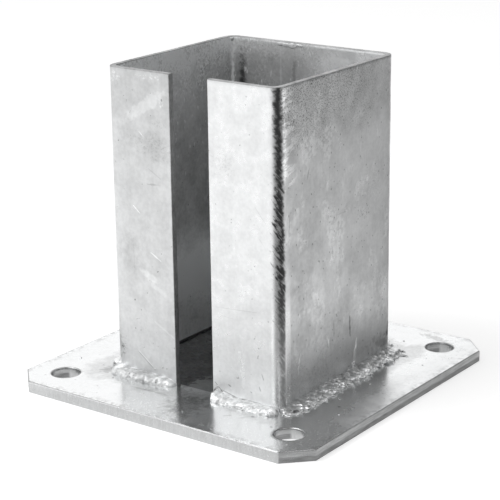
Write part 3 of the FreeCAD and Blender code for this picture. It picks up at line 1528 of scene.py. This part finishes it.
@dataclass(frozen=True)
class Viewpoint:
    """The camera, looking down a little at the post base from its front right.

    Attributes:
        azimuth: Degrees round from the slotted side towards +X.
        elevation: Degrees above the floor.
        roll: Degrees of tilt about the view line.
        distance: From the aim point to the lens.
        aim_height: Height of the aim point.
        aim_right: The aim point's offset to the right.
        lens: Focal length in millimetres.
        frame_width: Width of the frame in millimetres.
    """

    azimuth: float = 36.28
    elevation: float = 17.14
    roll: float = -0.74
    distance: float = 0.81263
    aim_height: float = 0.06213
    aim_right: float = -0.00212
    lens: float = 120.95
    frame_width: float = 36.0

    def build(self) -> bpy.types.Object:
        """Place the camera and make it the scene's own.

        Returns:
            The camera.
        """
        turn, rise, tilt = (math.radians(a) for a in (self.azimuth, self.elevation, self.roll))
        reach = math.cos(rise)
        back = Vector((math.sin(turn) * reach, -math.cos(turn) * reach, math.sin(rise)))
        level = UP.cross(back).normalized()
        right = math.cos(tilt) * level + math.sin(tilt) * back.cross(level)
        aim = UP * self.aim_height + right * self.aim_right
        data = bpy.data.cameras.new("camera")
        data.lens = self.lens
        data.sensor_width = self.frame_width
        data.clip_start = 0.01
        camera = bpy.data.objects.new("camera", data)
        axes = Matrix((right, back.cross(right), back)).transposed().to_4x4()
        camera.matrix_world = Matrix.Translation(aim + back * self.distance) @ axes
        bpy.context.scene.collection.objects.link(camera)
        bpy.context.scene.camera = camera
        return camera


@dataclass(frozen=True)
class Lamp:
    """One square soft lamp that faces the post base.

    Attributes:
        name: Its name.
        spot: Where it hangs.
        watts: Its power.
        size: The length of its sides.
        aim: The place that it faces.
    """

    name: str
    spot: Triple
    watts: float
    size: float = 0.9
    aim: Triple = (0, 0, 0.07)

    def build(self) -> None:
        """Hang the lamp."""
        data = bpy.data.lights.new(self.name, "AREA")
        data.shape = "SQUARE"
        data.size = self.size
        data.energy = self.watts
        lamp = bpy.data.objects.new(self.name, data)
        lamp.location = self.spot
        beam = Vector(self.aim) - Vector(self.spot)
        lamp.rotation_euler = beam.to_track_quat("-Z", "Y").to_euler()
        bpy.context.scene.collection.objects.link(lamp)


@dataclass(frozen=True)
class Studio:
    """A pale floor, white surroundings and soft lamps.

    Attributes:
        floor_size: Width of the floor.
        floor_drop: How far the floor lies under the plate.
        floor_grey: Grey of the floor's paint.
        floor_glow: What the floor adds for the rays that see the surroundings.
        sky_light: Strength of the surroundings on matt surfaces.
        room: Brightness of the room that metal shows over the horizon, by the compass:
            degrees from the slotted side towards +X, and the tone there.
        ground: The same for the floor.
        floor_contact_shade: Distance from the axis to which the floor has a painted shadow, where
            it
        starts to change, and its tone; only the camera sees the floor white there.
        lamps: The lamps.
    """

    floor_size: float = 6.0
    floor_drop: float = 0.2 * MM
    floor_grey: float = 0.68
    floor_glow: float = 0.645
    sky_light: float = 0.50
    room: tuple[Pair, ...] = (
        (-180, 1), (10, 1), (44, 0.2), (80, 0.2), (108, 0.45), (126, 0.18), (160, 0.18), (178, 1)
    )
    ground: tuple[Pair, ...] = (
        (-180, 1), (14, 1), (42, 0.26), (86, 0.26), (104, 0.95), (127, 1), (141, 0.46),
        (158, 0.44), (178, 1),
    )
    floor_contact_shade: Triple = (0.10, 0.17, 0.58)
    lamps: tuple[Lamp, ...] = (
        Lamp("key_lamp", (-0.7, -0.85, 1.6), 15.0),
        Lamp("fill_lamp", (1.4, -0.6, 1.2), 4.0),
    )

    def seen(self, board: NodeBoard) -> Value:
        """Tell the rays that see the white surroundings from the others.

        Args:
            board: The tree to add to.

        Returns:
            1 for those rays and 0 for the others.
        """
        total: Value = 0.0
        for ray in Ray:
            total = board.maths("ADD", total, board.ray(ray), clamp=True)
        return total

    def compass(self, place: Place, tones: tuple[Pair, ...]) -> Shade:
        """Tell the tone towards a place by the compass.

        Args:
            place: The direction, or the place on the floor.
            tones: Pairs of compass degrees and tone.

        Returns:
            The tone.
        """
        x, y, _ = place.axes()
        turn = place.board.maths("ARCTAN2", x, y * -1.0)
        share = place.board.maths("DIVIDE", turn, 2 * math.pi) + 0.5
        scale = place.board.place("ValToRGB", {"Fac": share})
        scale.color_ramp.interpolation = "EASE"
        stops = scale.color_ramp.elements
        for degrees, _ in tones[1:-1]:
            stops.new(degrees / 360 + 0.5)
        for stop, (degrees, tone) in zip(stops, tones):
            stop.position = degrees / 360 + 0.5
            stop.color = (tone, tone, tone, 1)
        return Shade(place.board, scale.outputs["Color"])

    def to_eye(self, board: NodeBoard, tone: Shade) -> Shade:
        """Return a tone that is white straight to the camera."""
        return board.blend(board.ray(Ray.CAMERA), tone, (1, 1, 1))

    def build_world(self) -> None:
        """Make the surroundings white to look at and softer as a light."""
        world = bpy.data.worlds.new("surroundings")
        bpy.context.scene.world = world
        world.use_nodes = True
        board = NodeBoard(world.node_tree)
        tone = self.to_eye(board, self.compass(board.spot("Generated"), self.room))
        strength = self.seen(board).choose(self.sky_light, 1.0)
        sky = board.place("Background", {"Color": tone, "Strength": strength})
        board.place("OutputWorld", {"Surface": sky.outputs[0]})

    def floor_paint(self) -> bpy.types.Material:
        """Mix the floor's paint.

        Returns:
            The finished material.
        """
        material = bpy.data.materials.new("floor_paint")
        material.use_nodes = True
        board = NodeBoard(material.node_tree)
        place = board.spot("Object")
        near, far, contact_shade_tone = self.floor_contact_shade
        tone = self.compass(place, self.ground)
        # Painted shadow: the floor is darker close to the post base for every ray but the
        # camera's.
        tone = board.blend(place.length().ramp(far, near), tone, (contact_shade_tone,) * 3)
        tone = self.to_eye(board, tone)
        grey = board.blend(1.0, tone, (self.floor_grey,) * 3, "MULTIPLY")
        paint = board.place("BsdfDiffuse", {"Color": grey})
        strength = self.seen(board) * self.floor_glow
        glow = board.place("Emission", {"Color": tone, "Strength": strength})
        both = board.place("AddShader", {0: paint.outputs[0], 1: glow.outputs[0]})
        board.place("OutputMaterial", {"Surface": both.outputs[0]})
        return material

    def build_floor(self) -> None:
        """Lay the floor that takes the shadow."""
        form = bmesh.new()
        bmesh.ops.create_grid(form, x_segments=1, y_segments=1, size=self.floor_size / 2)
        bmesh.ops.translate(form, vec=(0, 0, -self.floor_drop), verts=form.verts)
        mesh = bpy.data.meshes.new("floor")
        form.to_mesh(mesh)
        form.free()
        floor = bpy.data.objects.new("floor", mesh)
        bpy.context.scene.collection.objects.link(floor)
        mesh.materials.append(self.floor_paint())

    def build(self) -> None:
        """Set up the whole studio."""
        self.build_world()
        self.build_floor()
        for lamp in self.lamps:
            lamp.build()
        bpy.context.scene.view_settings.view_transform = "Standard"


SLEEVE_MARKS = (
    # Left of the slot
    *marks_on(Axis.Y, -49, 3, (
        (-29.5, 14.8, 8.2, 0.35, 37, -0.16),
        (-29.5, 15.4, 8.2, 0.30, 37, 0.16),
        (-32.0, 89.0, 3.6, 0.30, 40, 0.26),
        (-28.3, 126.0, 2.7, 0.25, 40, 0.20),
        (-21.5, 102.5, 5.0, 0.5, -4, -0.12),
        (-21.0, 108.0, 6.0, 0.4, 30, -0.07),
        (-26.0, 57.5, 8.5, 2.2, 26, 0.12, False, 0.7),
        (-20.0, 51.5, 10.0, 2.0, 30, 0.07, False, 0.7),
        (-21.0, 67.5, 4.0, 0.4, 28, 0.20),
        (-18.0, 32.5, 11.0, 0.7, 28, 0.06),
        (-34.6, 66.0, 0.35, 10.0, 0, -0.07),
        (-36.0, 68.0, 10.0, 14.0, 0, -0.08, False, 0.9),
        (-38.0, 112.0, 9.0, 26.0, 0, -0.025, False, 0.9),
        (-35.0, 44.0, 0.5, 0.5, 0, -0.35),
    )),
    # The left bend
    Mark((-46.0, -47.5, 19.0), (3.6, 4, 8.0), (0, 0, 0), -0.20),
    # Left of the slot, then right of it
    *marks_on(Axis.Y, -49, 3, (
        (-42.5, 18.0, 2.4, 5.0, 0, -0.25, True),
        (-25.0, 139.5, 18.0, 3.6, -30, 0.085, False, 0.5),
        (-15.5, 140.5, 1.7, 1.8, 0, 0.18, True),
        (-43.0, 151.0, 4.0, 4.0, 0, 0.16, True),
        (-22.0, 153.0, 9.0, 1.6, 0, 0.14, True),
        (-21.0, 121.0, 16.0, 8.5, 12, -0.065, False, 0.8),
        (-21.0, 121.0, 16.0, 8.5, 12, -0.09, True, 0.8),
        (-17.0, 131.0, 6.0, 3.0, 12, -0.10, True, 0.8),
        (28.5, 20.5, 1.1, 10.4, 0, 0.07, False, 0.3),
        (26.0, 50.6, 18.0, 0.25, -4, -0.08),
        (19.0, 46.0, 7.0, 0.25, 3, -0.06),
        (18.0, 118.0, 10.0, 13.0, 30, -0.09, True, 0.8),
        (39.0, 97.5, 7.5, 0.16, 50, -0.13),
        (39.5, 90.0, 6.0, 0.14, 52, -0.10),
        (40.0, 84.5, 5.0, 0.14, 50, -0.12),
        (39.5, 21.0, 0.35, 2.2, -20, -0.30),
        (38.0, 14.5, 0.35, 1.4, -25, -0.30),
        (20.5, 12.6, 1.2, 0.35, 25, -0.35),
        (33.0, 12.0, 0.9, 0.35, 25, -0.35),
        # Painted shadow and flux residue: dark lines along the front-right weld's upper toe.
        (14.2, 10.6, 3.4, 0.28, 43, -0.45, False, 0.3),
        (20.8, 8.3, 5.0, 0.25, 13, -0.40, False, 0.3),
        (33.0, 7.5, 9.0, 0.25, 0, -0.28, False, 0.3),
    )),
    # The right side
    *marks_on(Axis.X, 49, 3, (
        (9.5, 30.5, 0.8, 6.0, 3, -0.30),
        (-4.5, 32.5, 0.9, 5.0, 3, -0.14),
        (14.0, 15.0, 0.8, 7.0, -12, 0.24),
        (38.0, 13.0, 15.0, 7.0, -8, -0.24, False, 0.9),
        (24.0, 38.0, 17.0, 13.0, 0, 0.09, False, 0.9),
        (-24.0, 68.0, 17.0, 30.0, 0, -0.045, False, 0.9),
        (-27.0, 125.0, 9.0, 20.0, 0, 0.07, False, 0.9),
        (45.0, 18.0, 2.8, 6.0, 0, -0.40, False, 0.8),
        (-36.0, 31.0, 1.4, 7.0, 6, 0.10),
        (-9.0, 27.0, 0.6, 3.0, 14, 0.20),
        (-22.0, 24.0, 25.0, 13.0, 0, 0.18, False, 0.9),
        (-30.0, 56.0, 13.0, 11.0, 0, -0.07, False, 0.9),
        (42.0, 38.0, 7.0, 14.0, 0, 0.18, False, 0.9),
        (-22.0, 44.0, 2.4, 7.0, 0, 0.09, False, 0.8),
        (31.0, 48.0, 4.0, 8.0, 0, 0.10, False, 0.9),
        (-43.0, 128.0, 3.0, 16.0, 0, 0.08, False, 0.9),
        (-39.5, 138.0, 6.0, 1.2, 30, -0.20, True),
        (-38.0, 143.0, 7.0, 1.2, 40, -0.20, True),
        (-25.5, 113.0, 0.35, 3.5, -20, -0.20),
        (-40.5, 92.0, 0.3, 6.0, -6, -0.22),
        (-1.0, 83.0, 0.3, 4.0, -4, -0.16),
        (-6.0, 72.0, 0.3, 5.0, 5, -0.14),
        (2.0, 88.0, 6.0, 0.35, 0, -0.10),
        (22.0, 84.0, 6.5, 4.0, 0, -0.26, True),
        (30.0, 96.0, 6.0, 14.0, 0, 0.10, True),
        (1.0, 121.0, 2.0, 2.6, 0, 0.18, True),
        (-10.0, 104.0, 1.4, 3.6, 0, 0.14, False, 0.8),
        (24.0, 100.0, 1.0, 2.0, 0, 0.18),
    )),
)
INSIDE_MARKS = (
    # The back wall
    *marks_on(Axis.Y, 46, 3, (
        (24.0, 142.0, 17.0, 13.0, 30, 0.14, False, 0.9),
        (-8.0, 140.0, 1.5, 14.0, 0, -0.15, False, 0.8),
    )),
    # The far bend: a painted highlight down its inner corner
    Mark((-44.6, 44.6, 135.0), (1.0, 1.0, 24.0), (0, 0, 0), 0.50),
    # The back wall
    *marks_on(Axis.Y, 46, 3, (
        # Painted shade: the dark band on the back wall beside the far bend's painted highlight.
        (-39.5, 135.0, 3.0, 26.0, 0, -0.28, False, 0.9),
        (-16.0, 140.0, 0.9, 16.0, 0, 0.14, False, 0.8),
    )),
    # The left wall
    *marks_on(Axis.X, -46, 3, (
        (-12.0, 122.0, 0.8, 5.0, 0, 0.20, True),
        (-6.0, 118.0, 1.2, 4.0, 20, 0.22, True),
        (-18.0, 138.0, 14.0, 9.0, 0, 0.26, True, 0.8),
        (-22.0, 130.0, 1.0, 4.0, 30, 0.20, True),
    )),
)
PLATE_MARKS = (
    # The top
    *marks_on(Axis.Z, 5.5, 2, (
        (31.0, -65.0, 2.6, 0.5, 42, -0.35),
        (38.2, -63.3, 2.2, 0.5, 36, -0.35),
        (41.6, -59.6, 0.9, 0.7, 0, -0.40),
        (54.9, -64.3, 0.9, 0.7, 0, -0.45),
        (67.2, -27.8, 0.8, 0.8, 0, -0.55),
        # Painted shadow: the grey line below the front-left weld and the dark patch by its left
        # end.
        (-18.0, -61.5, 13.0, 1.1, 3, -0.26, False, 0.8),
        (-52.0, -51.5, 5.0, 5.4, 0, -0.26, False, 0.7),
        (57.0, 76.5, 13.0, 3.8, -15, -0.30, False, 0.8),
        (76.0, 69.0, 4.0, 6.0, 0, -0.26, True, 0.8),
        (76.5, 55.0, 5.0, 4.0, 0, -0.30, True, 0.8),
        (-62.0, -57.0, 3.0, 1.2, 60, -0.25, True, 0.8),
        (1.6, -77.0, 1.6, 0.5, 30, -0.25),
        (-20.0, -78.0, 1.2, 0.4, 40, -0.25),
        # Painted light: the plate lightened at the slot's threshold, where light comes in.
        (2.0, -41.0, 11.0, 13.0, 0, 0.30, False, 0.3),
        # Painted reflection: the dark slot mirrored in the plate in front of it.
        (8.0, -66.0, 13.0, 21.0, 20, -0.34, False, 0.8),
        (9.0, -68.0, 12.0, 18.0, 20, -0.24, True, 0.6),
    )),
    # The cut edge on the slotted side
    Mark((-35.0, -85.0, 3.0), (0.5, 2, 4.0), (0, 0, 0), -0.35),
    # The top again
    *marks_on(Axis.Z, 5.5, 2, (
        (76.0, -1.0, 9.0, 6.0, 0, -0.30, True, 0.9),
        (78.0, 20.0, 6.0, 16.0, 0, -0.18, True, 0.9),
        (54.0, -43.0, 5.0, 3.0, 45, -0.40, False, 0.8),
    )),
)
BEAD_MARKS = tuple(
    Mark(centre, half, (0, 0, turn), *rest)
    for centre, half, turn, *rest in (
        # Painted shade: the front-left weld darkened overall.
        ((-30.0, -53.0, 8.0), (19.0, 6.0, 6.0), 0, -0.25, False, 0.6),
        ((46.5, -55.0, 7.0), (3.2, 3.6, 3.0), 0, -0.50, True, 0.6),
        ((50.5, -50.0, 7.0), (2.4, 2.0, 3.0), 45, -0.45, True, 0.7),
        ((55.0, -45.5, 6.5), (2.6, 1.8, 2.5), 60, -0.55, False, 0.8),
        # Painted shadow: the dark patch at the front-left weld's left end.
        ((-50.5, -51.0, 8.0), (4.2, 4.6, 5.0), 0, -0.75, False, 0.8),
        ((52.5, -48.5, 8.0), (3.4, 4.2, 4.0), 45, -0.45, False, 0.7),
        ((49.0, -51.5, 9.0), (1.1, 2.0, 3.0), 30, -0.55, False, 0.6),
        ((12.6, -53.0, 8.5), (1.0, 4.5, 4.0), 14, -0.40),
        ((12.0, -50.5, 11.0), (2.4, 3.0, 4.0), 0, -0.60, False, 0.6),
        ((30.0, -53.0, 8.0), (20.0, 6.0, 6.0), 0, -0.07, False, 0.6),
        ((24.0, -55.5, 6.8), (1.2, 0.8, 1.0), 0, -0.35),
        ((38.0, -54.0, 7.4), (1.2, 0.7, 1.0), 0, -0.35),
        ((-27.0, -55.0, 7.5), (1.2, 1.8, 2.0), 0, -0.25),
        ((-19.5, -53.0, 8.0), (0.9, 1.8, 2.0), 0, -0.25),
    )
)
OUTSIDE = SleeveZinc(
    "zinc_outside", 0.74, (16 * MM, 0.03), (4 * MM, 0.022), (0.9 * MM, 0.025),
    marks=SLEEVE_MARKS,
)
INSIDE = InsideZinc("zinc_inside", 0.58, shine=(0.42, 0.12), metal=0.6, marks=INSIDE_MARKS)
CUT = CutZinc("zinc_cut", 0.46, shine=(0.5, 0.1), metal=0.35)
FLAT = PlateZinc(
    "zinc_flat", 0.99, (14 * MM, 0.025), (3 * MM, 0.02), (0.9 * MM, 0.03),
    shine=(0.17, 0.05), fade=0.10, marks=PLATE_MARKS,
)
SMOOTH_BEAD = BeadZinc(
    "zinc_bead", 0.97, (9 * MM, 0.04), (2.5 * MM, 0.06), pits=(0.55 * MM, 0.6, 0.35),
    shine=(0.60, 0.1), relief=0.035 * MM, marks=BEAD_MARKS, hollow_shade_tone=0.68,
)
KNOTTY_BEAD = BeadZinc(
    "zinc_knots", 0.95, (9 * MM, 0.05), (1.6 * MM, 0.08), pits=(0.7 * MM, 0.6, 0.26),
    shine=(0.28, 0.12), relief=0.05 * MM, marks=BEAD_MARKS, hollow_shade_tone=0.62,
)
PLAIN_RUN = ((-47.4, 5.5, 4.0), (-30, 6.2, 4.4), (10, 6.0, 4.2), (47.4, 5.5, 4.2))
WELDS = (
    WeldRun(
        "weld_front_left",
        Side.FRONT,
        ((-47.4, 7.2, 5.0), (-38, 7.6, 3.8), (-26, 6.6, 3.4), (-16, 5.4, 3.0), (-11.2, 3.8, 1.9)),
        1.7,
        bead=6.0 * MM,
        bead_height=0.22,
        knot=2.4 * MM,
    ),
    WeldRun(
        "weld_front_right",
        Side.FRONT,
        (
            (12.0, 5.4, 6.6), (14.2, 7.4, 4.4), (17, 8.1, 3.1), (26, 7.6, 2.1), (37, 7.2, 2.2),
            (47.4, 7.4, 3.0),
        ),
        2.9,
        bead=7.0 * MM,
        bead_height=0.16,
        knot=1.5 * MM,
        knotty=0.13,
    ),
    WeldRun(
        "weld_right",
        Side.RIGHT,
        ((-47.4, 9.0, 2.0), (-38, 9.6, 2.4), (0, 8.6, 3.0), (30, 8.0, 3.2), (47.4, 7.6, 3.0)),
        4.3,
        step=0.3 * MM,
        arc_steps=26,
        bead=3.2 * MM,
        bead_height=0.46,
        knot=1.6 * MM,
        knotty=0.24,
    ),
    WeldRun("weld_back", Side.BACK, PLAIN_RUN, 5.1),
    WeldRun("weld_left", Side.LEFT, PLAIN_RUN, 6.6),
)


@dataclass
class PostBase:
    """The whole post base.

    Attributes:
        sleeve: The folded sleeve.
        plate: The base plate.
        welds: The five weld runs, in the order that they are laid.
        spatter: The droplets and spikes.
        runs: The runs and lumps of zinc.
    """

    sleeve: PostSleeve = field(default_factory=PostSleeve)
    plate: BasePlate = field(default_factory=BasePlate)
    welds: tuple[WeldRun, ...] = WELDS
    spatter: Spatter = field(default_factory=Spatter)
    runs: ZincRuns = field(default_factory=ZincRuns)

    def build(self) -> None:
        """Build and dress every piece in order."""
        finishes = (OUTSIDE, INSIDE, CUT, FLAT, SMOOTH_BEAD, KNOTTY_BEAD)
        outside, inside, cut, flat, smooth, knotty = (finish.make() for finish in finishes)
        self.plate.build(flat)
        self.sleeve.build(outside, inside, cut)
        for run in self.welds:
            run.build(smooth if run.side is Side.FRONT else knotty)
        self.spatter.build(knotty)
        self.runs.build(outside, smooth)


def main() -> None:
    """Set up the view and the studio, and build the post base."""
    logging.basicConfig(level=logging.INFO, format="%(name)s: %(message)s")
    Viewpoint().build()
    Studio().build()
    PostBase().build()


if __name__ == "__main__":
    main()
